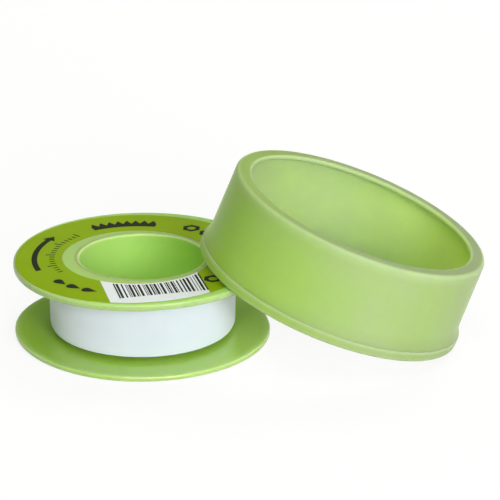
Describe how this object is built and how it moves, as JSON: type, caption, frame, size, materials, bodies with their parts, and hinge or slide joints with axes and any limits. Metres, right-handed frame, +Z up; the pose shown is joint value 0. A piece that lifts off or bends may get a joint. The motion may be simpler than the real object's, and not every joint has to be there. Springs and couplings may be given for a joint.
{
  "type": "thread seal tape roll",
  "caption": "Flanged plastic spool wound with white film tape, with a printed face label and a loose ring-shaped push-fit cover that leans against it.",
  "frame": {"origin": "centre of the spool's finger bore, on the lower flange's underside, which stands on the ground", "axes": "+Z up along the spool's axis; +X from the spool towards the side on which the cover stands and leans"},
  "size_m": [0.0911, 0.0534, 0.0343],
  "materials": {
    "spool_plastic": "satin gloss, slightly translucent light green polypropylene",
    "tape_film": "soft matte white fluoropolymer film",
    "label_film": "printed olive-green label with a satin surface",
    "cover_plastic": "satin gloss, slightly translucent light green polypropylene"
  },
  "bodies": {
    "spool": {"spool_body": "spool_plastic", "upper_flange": "spool_plastic", "tape_inner_turns": "tape_film", "tape_outer_turn": "tape_film", "face_label": "label_film"},
    "tape_end": {"tape_free_end": "tape_film"},
    "cover": {"cover_ring": "cover_plastic"}
  },
  "joints": [
    {"name": "cover_lift_off", "type": "slide", "parent": "spool", "child": "cover", "axis": [0.3451, 0, 0.9386], "range_m": [0, 0.05]},
    {"name": "tape_end_peel", "type": "hinge", "parent": "spool", "child": "tape_end", "pos_m": [-0.00319, 0.01784, 0.00795], "axis": [0, 0, -1], "range_deg": [0, 110]}
  ]
}
